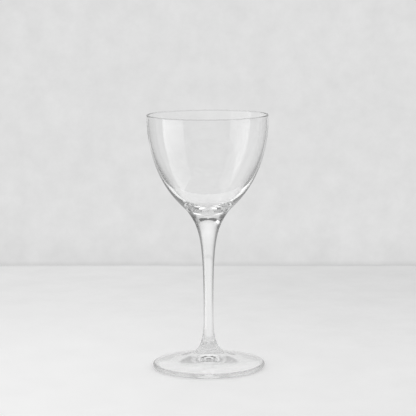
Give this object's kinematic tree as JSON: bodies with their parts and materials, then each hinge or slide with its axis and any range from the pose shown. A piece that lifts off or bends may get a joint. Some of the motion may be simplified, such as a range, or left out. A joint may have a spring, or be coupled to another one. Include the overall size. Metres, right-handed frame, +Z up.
{
  "type": "nick and nora glass",
  "caption": "Small stemmed cocktail glass in clear glass: a deep egg-shaped bowl on a slender flaring stem and a round crowned foot.",
  "frame": {"origin": "on the axis of the glass, in the plane of the ring that it rests on", "axes": "+Z up along the axis of the glass, from the foot to the rim; X and Y are alike, because every piece is turned"},
  "size_m": [0.076, 0.076, 0.16],
  "materials": {
    "clear_glass": "clear, fire-polished, faintly wavy"
  },
  "bodies": {
    "root": {"bowl": "clear_glass", "stem": "clear_glass", "foot": "clear_glass"}
  },
  "joints": []
}
